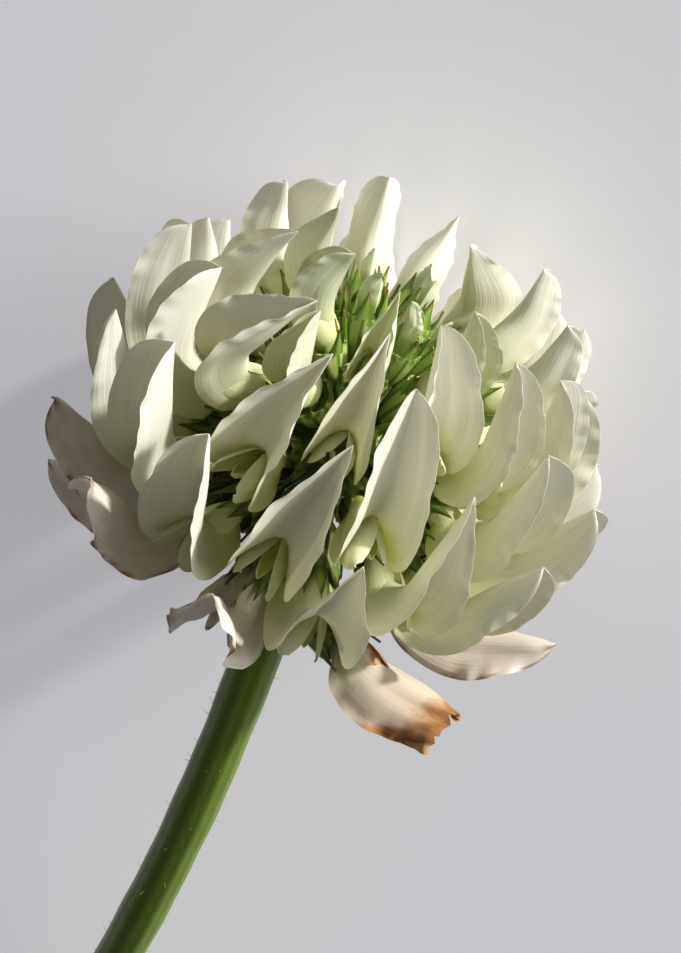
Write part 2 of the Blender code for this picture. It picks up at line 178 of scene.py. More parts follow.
# Fine banner, in shares of its length: where its shoulders start and how far they reach, where its taper
# starts, where its lobes start and end and how softly, and where its face comes to lie on its ridge
SHOULDERS_FROM = 0.01
SHOULDERS_REACH = 0.36
TAPER_FROM = 0.28
LOBES = (0.07, 0.32, 0.2)
RIDGE_FROM = 0.45
RIDGE_OVER = 0.45
LEAST_HALF_WIDTH = 0.015 * MM
TIP_BENDS = 0.16
CLAW_ROWS = 4
CLAW_DEPTH = 1.3 * MM

# Relief of a banner: the stretches that carry it, as above, its waves across or along, and how far, in
# millimetres, a margin may roll inwards or outwards
PLEATED = (0.2, 0.85, 0.3)
PLEAT_WAVES = (11, 17)
CRUMPLED = (0.2, 0.95, 0.3)
CRINKLED = (0.15, 0.92, 0.2)
CRINKLE_WAVES = (46, 29)
RIPPLES = (1.1, 2.4)
ROLLED = (0.15, 0.75, 0.3)
MARGIN_ROLL = (-0.21, 0.06)
PHASES = (0, 6)

# Wings and keel: they start inside the calyx. An open floret lifts them by some degrees and splays the
# wings by some tenths of a millimetre. Each wing leans outwards by some degrees.
INNER_START = CALYX_LENGTH - 0.5 * MM
OPENING_LIFT = 6
WING_LENGTH = 4.5 * MM
WING_HALF_HEIGHT = 1.1 * MM
WING_FROM_MIDDLE = 0.3 * MM
WING_RAISED = 0.05 * MM
WING_CUP = 0.36 * MM
WING_WAVE = 0.05 * MM
WING_LEAN = (14, 34)
WING_SPLAY = (0.05, 0.45)
KEEL_LENGTH = 3.9 * MM
KEEL_HALF_HEIGHT = 0.72 * MM
KEEL_HALF_WIDTH = 0.34 * MM

# Fine calyx: its stations from foot to mouth, wall, ribs and teeth, and the floret's own short stalk
CALYX_STATIONS = (0.0, 0.06, 0.16, 0.32, 0.5, 0.68, 0.84, 0.95, 1.0)
CALYX_FOOT = 0.3 * MM
CALYX_WALL = 0.13 * MM
CALYX_RIBS = 10
CALYX_RIB_HEIGHT = 0.035
CALYX_COLUMNS = 30
FINE_TOOTH_LENGTH = 1.5 * MM
TOOTH_GRID = (9, 5)
TOOTH_ROOT = 0.25 * MM
TOOTH_THICKNESS = 0.11 * MM
PEDICEL_RADIUS = 0.3 * MM
PEDICEL_KNEE = 1.2 * MM

# Fine head axis: columns, and heights and radii of its rings in millimetres
AXIS_COLUMNS = 20
AXIS_HEIGHTS = (-3.3, -2.9, -2.3, -1.6, -0.8, 0.0, 0.8, 1.5, 1.95, 2.1)
AXIS_RADII = (1.05, 1.1, 1.25, 1.6, 1.85, 1.9, 1.75, 1.25, 0.7, 0.3)

# Fine stalk and its hairs, with their lengths in millimetres
STALK_ROWS = 150
STALK_COLUMNS = 48
STALK_RIDGES = 11
STALK_RIDGE_HEIGHT = 0.014
STALK_FLARE = 0.08
STALK_HAIRS = 130
HAIR_RADIUS = 0.014 * MM
HAIR_LENGTHS = (0.2, 0.4)
HAIR_LEAN = (0.2, 1.0)

# Colours, as linear red, green and blue. A fresh petal's and a withered one's run from foot to tip.
FRESH_PETAL = (
    (0.0, (0.56, 0.63, 0.15)),
    (0.12, (0.78, 0.80, 0.42)),
    (0.30, (0.90, 0.89, 0.75)),
    (0.55, (0.92, 0.905, 0.85)),
    (1.0, (0.93, 0.91, 0.875)),
)
DRY_PETAL = (
    (0.05, (0.48, 0.47, 0.25)),
    (0.22, (0.76, 0.70, 0.58)),
    (0.60, (0.74, 0.64, 0.50)),
    (0.76, (0.58, 0.31, 0.12)),
    (0.90, (0.40, 0.16, 0.05)),
    (1.0, (0.68, 0.46, 0.20)),
)
WHITE = (1.0, 1.0, 1.0)
PETAL_STREAKS = ((0.3, (0.93, 0.935, 0.90)), (0.6, WHITE))
PETAL_VEINS = ((0.32, (0.87, 0.88, 0.80)), (0.5, WHITE))
DRY_STREAKS = ((0.3, (0.86, 0.80, 0.74)), (0.58, WHITE))
CALYX_SPECKLES = ((0.3, (0.75, 0.78, 0.65)), (0.6, WHITE))
STALK_FLECKS = ((0.3, (0.72, 0.78, 0.6)), (0.65, WHITE))
YOUNG_GREEN = (0.66, 0.76, 0.36, 1.0)
INNER_YELLOW = (0.90, 0.94, 0.44, 1.0)
AGED_MAUVE = (0.80, 0.68, 0.63, 1.0)
WORN_BROWN = (0.42, 0.24, 0.10, 1.0)
CALYX_PALE = (0.58, 0.66, 0.22, 1.0)
CALYX_RIB_GREEN = (0.16, 0.29, 0.04, 1.0)
TOOTH_PALE = (0.30, 0.42, 0.08, 1.0)
TOOTH_GREEN = (0.11, 0.21, 0.025, 1.0)
TOOTH_TIP_RED = (0.26, 0.09, 0.04, 1.0)
# Near-black olive of older calyces: partly their browning with age, partly painted shade of the depth
# between the florets
OLD_CALYX_AND_DEPTH_SHADE = (0.075, 0.085, 0.025, 1.0)
FURROW_GREEN = (0.12, 0.185, 0.012, 1.0)
RIDGE_GREEN = (0.17, 0.26, 0.018, 1.0)
HAIR_PALE = (0.34, 0.42, 0.18, 1.0)
# What light that comes through is tinted by
THROUGH_PETAL = (1.0, 1.0, 0.82, 1.0)
THROUGH_DRY = (1.0, 0.82, 0.5, 1.0)
THROUGH_CALYX = (1.2, 1.35, 0.5, 1.0)
THROUGH_STALK = (1.1, 1.2, 0.5, 1.0)
LEAF_SPECULAR = 0.3

# Floor and lamps. A lamp has the way to it, as the picture's right, up and towards the camera, then its
# strength, its softness in degrees and its colour.
FLOOR_SIZE = 3.0
FLOOR_COLOUR = (0.85, 0.84, 0.87, 1.0)
FLOOR_GLOW = (0.97, 0.95, 1.0, 1.0)
FLOOR_GLOW_STRENGTH = 0.29
FLOOR_ROUGHNESS = 0.9
FLOOR_SPECULAR = 0.1
KEY_LAMP = ((0.85, 0.42, 0.60), 5.1, 3, (1.0, 0.985, 0.95))
FILL_LAMP = ((0.80, 0.15, 0.62), 1.6, 30, WHITE)
SKY_COLOUR = (0.80, 0.82, 0.90, 1.0)
SKY_STRENGTH = 0.15

# What each point carries for its material: its place along and across its petal or tooth, the age of its
# floret (on the green head it also sets how much painted shade darkens it), a number that sets the floret
# apart, and its part: 0.5 on a wing, 1 on a keel
VALUES = ("along", "across", "age", "tone", "part")

# Florets with long pointed banners, and those whose halves stand closer or wider than most, in degrees
POINTED = (7, 10, 12, 13, 19, 22, 24, 26, 28, 33, 37, 40)
SPREAD_BY_NUMBER = {26: -14, 12: -6, 27: -6}
# Edges of a piece that are sharper than this aren't smoothed
SHARP_ANGLE = math.radians(55)

# Height above the floor below which a petal that rests on it gives way
FLOOR_GIVE = 0.1 * MM


def unit(vector):
    """The vector brought to length 1."""
    return vector / np.linalg.norm(vector)


def direction(polar, longitude):
    """Unit vector at an angle from the crown and a longitude, in the flower's own frame."""
    return np.array([
        math.sin(polar) * math.cos(longitude),
        math.sin(polar) * math.sin(longitude),
        math.cos(polar),
    ])


def smooth(t):
    """0 to 1 with level ends, for t from 0 to 1."""
    t = np.clip(t, 0.0, 1.0)
    return t * t * (3 - 2 * t)


def floret_frame(floret):
    """A floret's forward, sideways and crownward directions as a matrix's columns, and its calyx's foot."""
    axis = floret["axis"]
    level = unit(np.cross([0.0, 0.0, 1.0], axis))
    steep = np.cross(axis, level)
    twist = math.radians(floret["twist"])
    side = level * math.cos(twist) + steep * math.sin(twist)
    stalk = floret.get("stalk_axis", axis)
    root = stalk * np.array([AXIS_RADIUS, AXIS_RADIUS, AXIS_HALF_HEIGHT]) * 0.9
    return np.column_stack([axis, side, np.cross(axis, side)]), root + stalk * floret["stalk"] * MM


def placed(points, floret):
    """Points of a floret's own frame in the flower's frame."""
    frame, foot = floret_frame(floret)
    return points @ frame.T + foot


def midrib(floret, steps=48):
    """Arc lengths, points and slopes of a banner's midrib in the plane of forward and crownward."""
    length = BANNER_LENGTH * floret["length"]
    s = np.linspace(0.0, length, steps)
    lift = math.radians(floret["lift"]) * smooth((s / BANNER_LENGTH - 0.04) / 0.36)
    curl = math.radians(floret["curl"]) * smooth((s / length - 0.5) / 0.5)
    angle = lift + curl
    step = length / (steps - 1)
    x = np.concatenate([[0.0], np.cumsum((np.cos(angle[1:]) + np.cos(angle[:-1])) / 2 * step)])
    z = np.concatenate([[0.0], np.cumsum((np.sin(angle[1:]) + np.sin(angle[:-1])) / 2 * step)])
    start = CALYX_LENGTH + SEAT_GAP + BANNER_SEAT[0]
    return s, x + start, z + BANNER_SEAT[1], angle


def banner_half_width(t, floret):
    """Half width of the flattened banner at a share t of its length: claw, round shoulders, pointed tip."""
    full = BANNER_HALF_WIDTH * floret["width"]
    shoulder = CLAW_HALF_WIDTH + (full - CLAW_HALF_WIDTH) * smooth((t - 0.06) / 0.28)
    taper = max(1 - max((t - 0.34) / 0.66, 0) ** 2.0, 0.0) ** floret["blunt"]
    return max(shoulder * taper, TIP_HALF_WIDTH)


def banner_grid(floret, along, across):
    """Points of the banner's inner face, one row for each share along, one column for each share across."""
    s, x, z, angle = midrib(floret)
    rows = []
    for t in along:
        at = t * s[-1]
        mx, mz, ma = (np.interp(at, s, values) for values in (x, z, angle))
        width = banner_half_width(t, floret)
        closing = smooth((t - CLOSES_FROM) / CLOSES_OVER)
        fold = math.radians(floret["fold"] + (floret["tip_fold"] - floret["fold"]) * closing)
        row = []
        for v in across:
            sideways = math.copysign(abs(v) ** SIDEWAYS_POWER, v) * width * math.cos(fold)
            below = abs(v) ** DOWNWARDS_POWER * width * math.sin(fold)
            row.append([mx + below * math.sin(ma), sideways, mz - below * math.cos(ma)])
        rows.append(row)
    return np.array(rows)


def outward_normals(grid):
    """Unit normals of a banner's grid, on the side that faces the crown at its claw."""
    along = np.gradient(grid, axis=0)
    across = np.gradient(grid, axis=1)
    normals = np.cross(along, across)
    normals *= math.copysign(1.0, normals[0, grid.shape[1] // 2, 2])
    return normals / np.linalg.norm(normals, axis=2, keepdims=True)


def pod_rings(floret):
    """Centre, half height and half width of each ring of the wings and keel."""
    length = POD_LENGTH * floret["length"]
    droop = math.radians(floret["droop"])
    rings = []
    for share, height, width in zip(POD_SHARES, POD_HEIGHTS, POD_WIDTHS):
        x = CALYX_LENGTH + SEAT_GAP + share * length * math.cos(droop)
        z = -share * share * length * math.sin(droop)
        rings.append((x, z, height * NECK_RADIUS, width * NECK_RADIUS))
    return rings


def corolla_balls(floret):
    """Balls that stand for one corolla while the florets shoulder each other apart: centres and radii."""
    along = (0.16, 0.28, 0.4, 0.52, 0.64, 0.76, 0.88, 1.0)
    across = (-1.0, -0.5, 0.0, 0.5, 1.0)
    grid = banner_grid(floret, along, across)
    blade = (grid + outward_normals(grid) * BLADE_THICKNESS / 2).reshape(-1, 3)
    _, wide, end = np.array(pod_rings(floret))
    rings = np.array([wide, (wide + end) / 2, end])
    pod = np.column_stack([rings[:, 0], np.zeros(3), rings[:, 1]])
    return np.concatenate([blade, pod]), np.concatenate([np.full(len(blade), 0.48 * MM), rings[:, 2]])


def calyx_balls():
    """Balls that stand for a calyx and its teeth: centres and radii."""
    balls = [[0.5 * CALYX_LENGTH, 0.0, 0.0], [0.85 * CALYX_LENGTH, 0.0, 0.0]]
    radii = [0.8 * MM, CALYX_MOUTH_RADIUS]
    for k in range(TEETH):
        turn = 2 * math.pi * (k + 0.5) / TEETH
        ring = CALYX_MOUTH_RADIUS + 0.6 * TOOTH_LENGTH * math.sin(TOOTH_LEAN)
        balls.append([CALYX_LENGTH + 0.6 * TOOTH_LENGTH, ring * math.sin(turn), ring * math.cos(turn)])
        radii.append(0.3 * MM)
    return np.array(balls), np.array(radii)


def near_pairs(centres, radii, rivals, slack):
    """The pairs among the rivals that are too close or may soon be."""
    first, second = rivals
    distance = np.linalg.norm(centres[first] - centres[second], axis=1)
    close = distance < radii[first] + radii[second] + slack
    return first[close], second[close]


def settle(florets, rounds=320, clearance=0.35 * MM, hold=0.06):
    """Lets the florets swell to size and push each other aside, held loosely to their own places.

    Each push turns a floret's axis about the middle of the head and twists it a little about that axis.
    """
    wanted = [(floret["axis"].copy(), floret["twist"]) for floret in florets]
    shapes = [corolla_balls(floret) for floret in florets]
    green = calyx_balls()
    balls = [np.concatenate([shape[0], green[0]]) for shape in shapes]
    radii = np.concatenate([np.concatenate([shape[1], green[1]]) for shape in shapes])
    owner = np.concatenate([np.full(len(ball), i) for i, ball in enumerate(balls)])
    petal = np.concatenate([np.arange(len(ball)) < len(shape[0]) for ball, shape in zip(balls, shapes)])
    first, second = np.triu_indices(len(radii), 1)
    keep = (owner[first] != owner[second]) & (petal[first] | petal[second])
    rivals = first[keep], second[keep]
    for step in range(rounds):
        swelling = min(1.0, 0.3 + step / (0.5 * rounds))
        loose = max(0.0, 1 - step / (0.7 * rounds))
        centres = np.concatenate([placed(ball, floret) for ball, floret in zip(balls, florets)])
        if step % 15 == 0:
            first, second = near_pairs(centres, radii, rivals, 1.5 * MM)
        apart = centres[first] - centres[second]
        distance = np.linalg.norm(apart, axis=1) + 1e-9
        press = np.maximum(swelling * (radii[first] + radii[second] + clearance) - distance, 0.0)
        force = apart / distance[:, None] * press[:, None]
        on_ball = np.zeros_like(centres)
        np.add.at(on_ball, first, force)
        np.add.at(on_ball, second, -force)
        lever = np.linalg.norm(centres, axis=1)
        shove = np.zeros((len(florets), 3))
        np.add.at(shove, owner, on_ball / lever[:, None])
        for i, (floret, (home, straight)) in enumerate(zip(florets, wanted)):
            if "stalk_axis" in floret:
                continue
            mine = owner == i
            axis = floret["axis"]
            arm = centres[mine] - np.outer(centres[mine] @ axis, axis)
            turning = (np.cross(arm, on_ball[mine]) @ axis).sum() / (2.5 * MM) ** 2
            floret["twist"] += math.degrees(0.03 * turning) + hold * (straight - floret["twist"])
            push = 0.08 * shove[i]
            push *= min(1.0, 0.02 / (np.linalg.norm(push) + 1e-9))
            floret["axis"] = unit(axis + push + hold * loose * (home - axis))


def all_florets():
    """Every floret of the head with its own small differences, in its settled place."""
    rng = np.random.default_rng(SEED)
    places = [row[:4] + (longitude,) for row in ROWS for longitude in row[4]]
    places.append(("withered", HANGING["polar"], HANGING["banner_polar"], 0, HANGING["longitude"]))
    florets = []
    for stage, polar, banner_polar, twist, longitude in places:
        floret = dict(zip(STAGE_VALUES, STAGES[stage]), stage=stage)
        floret["axis"] = direction(math.radians(polar), math.radians(longitude))
        floret["length"] *= 1 - FAR_SIDE_SHORTER * (1 - math.cos(math.radians(longitude))) / 2
        floret["length"] *= 1 + rng.uniform(-LENGTH_VARIES, LENGTH_VARIES)
        floret["width"] *= 1 + rng.uniform(-WIDTH_VARIES, WIDTH_VARIES)
        floret["lift"] = polar - banner_polar + rng.uniform(-LEAN_VARIES, LEAN_VARIES)
        floret["twist"] = twist + rng.uniform(-TWIST_VARIES, TWIST_VARIES)
        florets.append(floret)
    florets[-1]["stalk_axis"] = direction(
        math.radians(HANGING["stalk_polar"]), math.radians(HANGING["stalk_longitude"])
    )
    settle(florets)
    return florets


class Piece:
    """Points, faces and point values of one piece of the flower, gathered shape by shape."""

    def __init__(self):
        self.points = []
        self.faces = []
        self.values = {name: [] for name in VALUES}
        self.count = 0

    def add(self, points, faces, **values):
        """Adds a shape: its points, its faces and a value or an array for each name."""
        points = np.asarray(points).reshape(-1, 3)
        self.points.append(points)
        self.faces += [tuple(k + self.count for k in face) for face in faces]
        self.count += len(points)
        for name in VALUES:
            self.values[name].append(np.broadcast_to(np.ravel(values.get(name, 0.0)), len(points)))

    def build(self, name, material, flower, replaced):
        """The piece as an object in the world, riding on the frame's one body."""
        mesh = bpy.data.meshes.new(name)
        points = np.concatenate(self.points) @ flower[:3, :3].T + flower[:3, 3]
        pressed = FLOOR_GIVE * np.exp(np.minimum(points[:, 2] - FLOOR_GIVE, 0) / FLOOR_GIVE)
        points[:, 2] = np.maximum(points[:, 2], pressed)
        mesh.from_pydata(points.tolist(), [], self.faces)
        for key in VALUES:
            layer = mesh.attributes.new(key, "FLOAT", "POINT")
            layer.data.foreach_set("value", np.concatenate(self.values[key]).astype(np.float32))
        mesh.shade_smooth()
        mesh.set_sharp_from_angle(angle=SHARP_ANGLE)
        mesh.materials.append(material)
        made = bpy.data.objects.new(name, mesh)
        bpy.context.scene.collection.objects.link(made)
        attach(made, "root")
        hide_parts(*replaced)


def grid_normals(grid):
    """Unit normals of a grid, towards the side from which its rows run up and its columns to the right."""
    normals = np.cross(np.gradient(grid, axis=0), np.gradient(grid, axis=1))
    return normals / np.maximum(np.linalg.norm(normals, axis=2, keepdims=True), 1e-12)


def sheet_faces(rows, columns):
    """Faces of a thin closed sheet: its upper grid, its lower grid and the rim between them."""
    lower = rows * columns
    faces = []
    for i in range(rows - 1):
        for j in range(columns - 1):
            a, b = i * columns + j, (i + 1) * columns + j
            faces.append((a, b, b + 1, a + 1))
            faces.append((lower + a, lower + a + 1, lower + b + 1, lower + b))
    rim = [(i, 0) for i in range(rows - 1)]
    rim += [(rows - 1, j) for j in range(columns - 1)]
    rim += [(i, columns - 1) for i in range(rows - 1, 0, -1)]
    rim += [(0, j) for j in range(columns - 1, 0, -1)]
    around = [i * columns + j for i, j in rim]
    for here, there in zip(around, around[1:] + around[:1]):
        faces.append((there, here, lower + here, lower + there))
    return faces


def add_sheet(piece, floret, grid, along, across, thickness=PETAL_THICKNESS, **values):
    """Adds a petal given by the grid of its middle surface, thinner towards its margins."""
    rows, columns = grid.shape[:2]
    thin = thickness * (1 - MARGIN_THINNING * np.abs(across) ** 3)
    half = grid_normals(grid) * thin[..., None] / 2
    points = placed(np.concatenate([(grid + half).reshape(-1, 3), (grid - half).reshape(-1, 3)]), floret)
    both = dict(along=np.tile(along.ravel(), 2), across=np.tile(across.ravel(), 2))
    piece.add(points, sheet_faces(rows, columns), **both, **values)


def shares(rows, columns):
    """Shares along, from 0 to 1, and across, from -1 to 1, of a petal's grid."""
    return np.meshgrid(np.linspace(0, 1, rows), np.linspace(-1, 1, columns), indexing="ij")


def bell(t, low, high, soft):
    """1 between low and high and 0 outside them, with soft shoulders."""
    return smooth((t - low) / soft + 0.5) * smooth((high - t) / soft + 0.5)


def fine_outline(t, floret):
    """Half widths of a fine banner at shares t of its length: claw, round shoulders, a taper to its tip."""
    full = BANNER_HALF_WIDTH * floret["width"] * floret["slim"]
    rise = np.sqrt(1 - (1 - np.clip((t - SHOULDERS_FROM) / SHOULDERS_REACH, 0, 1)) ** 2)
    shoulder = CLAW_HALF_WIDTH + (full - CLAW_HALF_WIDTH) * rise
    to_tip = np.clip((t - TAPER_FROM) / (1 - TAPER_FROM), 0, 1)
    taper = (1 - to_tip ** floret["taper"]) ** floret["blunt"]
    return np.maximum(shoulder * taper, LEAST_HALF_WIDTH)


def fine_banner_grid(floret, t, v):
    """Middle surface of a banner: folded along its midrib, with straight margins and two rounded lobes."""
    s, x, z, angle = midrib(floret)
    mx, mz, ma = (np.interp(t * s[-1], s, values)[:, None] for values in (x, z, angle))
    width = fine_outline(t, floret)[:, None]
    closing = floret["close"] * smooth((t - CLOSES_FROM) / CLOSES_OVER)
    fold = floret["fold"] + closing * (floret["tip_fold"] - floret["fold"])
    fold = np.radians(fold - floret["spread"] * (1 - t) ** 1.5)[:, None]
    reach = np.abs(v)[None, :]
    sideways = np.sign(v)[None, :] * reach**SIDEWAYS_POWER * width * np.cos(fold)
    below = reach**DOWNWARDS_POWER * width * np.sin(fold)
    back = floret["lobe"] * MM * reach**2 * (1 - 0.2 * reach**6) * bell(t, *LOBES)[:, None]
    grid = np.stack([
        mx + below * np.sin(ma) - back * np.cos(ma),
        sideways,
        mz - below * np.cos(ma) - back * np.sin(ma),
    ], axis=-1)
    normals = outward_normals(grid)
    ridge = normals[:, normals.shape[1] // 2][:, None]
    share = smooth((t - RIDGE_FROM) / RIDGE_OVER)[:, None, None]
    return grid + (normals * (1 - share) + ridge * share) * BLADE_THICKNESS / 2, normals


def banner_relief(floret, rng, along, across):
    """Heights in millimetres of a banner's pleats, crumples, crinkled and rippled margins and their roll."""
    reach = np.abs(across)
    half = (across > 0).astype(int)
    first, second = PLEAT_WAVES
    folds = np.sin(across * first + rng.uniform(*PHASES))
    folds += 0.7 * np.sin(across * second + 3 * along + rng.uniform(*PHASES))
    relief = floret["pleat"] * folds * bell(along, *PLEATED)
    crumple = np.sin(7 * along + 2.3 * across + rng.uniform(*PHASES))
    crumple *= np.sin(4.1 * across - 3 * along + rng.uniform(*PHASES))
    relief += floret["crumple"] * crumple * bell(along, *CRUMPLED)
    notes = rng.uniform(*PHASES, 2)[half]
    first, second = CRINKLE_WAVES
    crinkle = np.sin(first * along + notes) + 0.8 * np.sin(second * along + 2 * notes)
    relief += floret["crinkle"] * crinkle * reach**6 * bell(along, *CRINKLED)
    phase = rng.uniform(*PHASES, 2)[half]
    waves = rng.uniform(*RIPPLES, 2)[half]
    ripple = np.sin(2 * math.pi * waves * along + phase)
    relief += floret["ripple"] * reach**3 * ripple * bell(along, *PLEATED)
    roll = rng.uniform(*MARGIN_ROLL, 2)[half]
    return relief + roll * reach**4 * bell(along, *ROLLED)


def add_banner(piece, floret, rng, **values):
    """The large folded petal, with its relief, a tip that bends or is torn, and a claw in the calyx."""
    rows, columns = BANNER_GRID
    t = (1 - (1 - np.linspace(0.0, 1.0, rows)) ** ROW_CROWDING) * floret["cut"]
    v = np.linspace(-1.0, 1.0, columns)
    grid, normals = fine_banner_grid(floret, t, v)
    along, across = np.meshgrid(t, v, indexing="ij")
    grid += normals * (banner_relief(floret, rng, along, across) * MM)[..., None]
    grid[..., 1] += rng.normal(0, TIP_BENDS) * floret["length"] * MM * along**2
    if floret["ragged"]:
        torn = rng.uniform(0, floret["ragged"], columns) * np.abs(np.sin(np.arange(columns) * 1.3))
        grid -= (torn * smooth((t[:, None] - 0.6) / 0.4))[..., None] * (grid - grid[:1, columns // 2]) * 0.5
    depth = np.linspace(1.0, 0.0, CLAW_ROWS, endpoint=False)[:, None, None] * CLAW_DEPTH
    narrow = grid[:1] * np.array([1.0, 0.85, 1.0])
    claw = np.concatenate([narrow] * CLAW_ROWS) - depth * np.array([1.0, 0.0, 0.15])
    grid = np.concatenate([claw, grid])
    along = np.concatenate([np.zeros((CLAW_ROWS, columns)), along])
    across = np.concatenate([across[:1]] * CLAW_ROWS + [across])
    add_sheet(piece, floret, grid, along, across, **values)


def add_wing(piece, floret, rng, side, **values):
    """A wing: a small rounded petal, cupped round the keel, whose lower margin leans outwards."""
    along, across = shares(*WING_GRID)
    length = WING_LENGTH * floret["length"] * rng.uniform(0.88, 1.05)
    droop = math.radians(floret["droop"] - OPENING_LIFT * floret["open"] + rng.uniform(-4, 6))
    rounded = np.sqrt(np.clip(1 - (np.clip(along - 0.5, 0, None) / 0.505) ** 2, 0.01, 1))
    profile = (0.25 + 0.75 * smooth(along / 0.55)) * rounded
    height = WING_HALF_HEIGHT * min(floret["width"], 1.05) * profile
    lean = math.radians(rng.uniform(*WING_LEAN)) * smooth(along / 0.6)
    cup = WING_CUP * (1 - across**2) * smooth(along / 0.4) * rounded
    splay = floret["open"] * rng.uniform(*WING_SPLAY) * MM
    x = INNER_START + along * length * math.cos(droop)
    y = WING_FROM_MIDDLE + splay * along**2 + cup * np.cos(lean) - across * height * np.sin(lean)
    y += WING_WAVE * np.sin(5 * along + 3 * across + rng.uniform(*PHASES)) * along
    z = WING_RAISED - along**2 * length * math.sin(droop) * 1.05 + across * height * np.cos(lean)
    grid = np.stack([x, side * y, z + cup * np.sin(lean)], axis=-1)
    if side > 0:
        grid, along, across = grid[:, ::-1], along[:, ::-1], across[:, ::-1]
    add_sheet(piece, floret, grid, along, across, part=0.5, **values)


def add_keel(piece, floret, **values):
    """The keel: two petals grown together into a boat between the wings."""
    along, across = shares(*KEEL_GRID)
    length = KEEL_LENGTH * floret["length"]
    droop = math.radians(floret["droop"] - OPENING_LIFT * floret["open"])
    growth = 0.5 + 0.5 * smooth(along / 0.5)
    width = KEEL_HALF_WIDTH * growth * np.sqrt(np.clip(1 - along**6, 0.03, 1))
    height = KEEL_HALF_HEIGHT * growth * np.sqrt(np.clip(1 - along**5, 0.05, 1))
    x = INNER_START + along * length * math.cos(droop)
    y = np.sin(across * math.pi / 2) * width
    z = -(along**2) * length * math.sin(droop) - np.cos(across * math.pi / 2) * height + 0.35 * height
    grid = np.stack([x, y, z], axis=-1)
    add_sheet(piece, floret, grid[:, ::-1], along, across, part=1.0, **values)


def tube_mesh(centres, frames, radii, columns, ridge=0.0, ridges=0):
    """Points, faces, shares along and ridges of a closed tube swept along centres. frames holds two unit
    vectors across the tube, once or for each centre."""
    turn = np.linspace(0, 2 * math.pi, columns, endpoint=False)
    wave = 1 + ridge * np.cos(ridges * turn)
    ring = np.stack([np.cos(turn), np.sin(turn)], axis=-1) * wave[:, None]
    points = centres[:, None] + radii[:, None, None] * (ring @ frames)
    rows = len(centres)
    faces = []
    for i in range(rows - 1):
        for j in range(columns):
            a, b = i * columns + j, i * columns + (j + 1) % columns
            faces.append((a, b, b + columns, a + columns))
    faces.append(tuple(range(columns))[::-1])
    faces.append(tuple((rows - 1) * columns + k for k in range(columns)))
    along = np.repeat(np.linspace(0, 1, rows), columns)
    across = np.tile(np.cos(ridges * turn), rows)
    return points.reshape(-1, 3), faces, along, across


def across_frames(tangents, guide):
    """Two unit vectors across each tangent, the first as near to the guide as can be."""
    tangents = tangents / np.linalg.norm(tangents, axis=1, keepdims=True)
    first = guide - tangents * (tangents @ guide)[:, None]
    first /= np.linalg.norm(first, axis=1, keepdims=True)
    return np.stack([first, np.cross(tangents, first)], axis=1)


def add_pedicel(piece, floret, **values):
    """The floret's own short stalk, from inside the head's axis to the calyx's foot."""
    _, foot = floret_frame(floret)
    t = np.linspace(0, 1, 10)[:, None]
    start = 0.3 * foot
    knee = foot - floret["axis"] * min(PEDICEL_KNEE, 0.4 * np.linalg.norm(foot))
    centres = (1 - t) ** 2 * start + 2 * t * (1 - t) * knee + t**2 * (foot + floret["axis"] * 0.15 * MM)
    frames = across_frames(np.gradient(centres, axis=0), np.array([0.1, 0.2, 1.0]))
    radii = PEDICEL_RADIUS * (1.15 - 0.3 * np.sin(math.pi * t[:, 0]))
    points, faces, along, across = tube_mesh(centres, frames, radii, 8)
    piece.add(points, faces, along=0.1 * along, across=across, **values)


def add_calyx(piece, floret, rng, **values):
    """A ribbed tube, open at its mouth and hollow inside, with a leaning tooth above every second rib."""
    share = np.array(CALYX_STATIONS)
    x_out = CALYX_LENGTH * share
    mouth = CALYX_MOUTH_RADIUS * floret["mouth"]
    r_out = CALYX_FOOT + (mouth - CALYX_FOOT) * (1 - (1 - share) ** 2.2) ** 0.8
    x_in = x_out[:2:-1] - 0.02 * MM
    r_in = np.maximum(r_out[:2:-1] - CALYX_WALL, 0.1 * MM)
    x = np.concatenate([x_out, x_in])
    centres = np.stack([x, 0 * x, 0 * x], axis=-1)
    frame = np.array([[0.0, 0.0, 1.0], [0.0, -1.0, 0.0]])
    radii = np.concatenate([r_out, r_in])
    ribs = dict(ridge=CALYX_RIB_HEIGHT, ridges=CALYX_RIBS)
    points, faces, _, across = tube_mesh(centres, frame, radii, CALYX_COLUMNS, **ribs)
    along = np.repeat(np.concatenate([share, x_in / CALYX_LENGTH]), CALYX_COLUMNS) * 0.5
    piece.add(placed(points, floret), faces, along=along, across=across, **values)
    for k in range(TEETH):
        add_tooth(piece, floret, rng, 2 * math.pi * (k + 0.5) / TEETH, mouth, **values)


def add_tooth(piece, floret, rng, turn, mouth, **values):
    """A narrow awl-shaped tooth of the calyx, keeled along its middle and bent a little at its tip."""
    along, across = shares(*TOOTH_GRID)
    length = FINE_TOOTH_LENGTH * rng.uniform(0.85, 1.12) * (0.86 + 0.2 * math.cos(turn))
    lean = (TOOTH_LEAN - floret["close_teeth"]) * rng.uniform(0.25, 0.85)
    half = (0.22 * (1 - along) ** 3 + 0.27 * (1 - along) ** 0.9 + 0.012) * MM * floret["tooth_width"]
    bend = rng.uniform(-0.12, 0.12) * MM * along**2
    x = CALYX_LENGTH - TOOTH_ROOT + along * length * math.cos(lean)
    out = mouth - 0.05 * MM + along * length * math.sin(lean) - 0.2 * MM * across**2 * (1 - along) ** 2
    around = across * half + bend
    y = out * math.sin(turn) + around * math.cos(turn)
    z = out * math.cos(turn) - around * math.sin(turn)
    grid = np.stack([x, y, z], axis=-1)
    add_sheet(piece, floret, grid[:, ::-1], 0.5 + 0.5 * along, across, thickness=TOOTH_THICKNESS, **values)


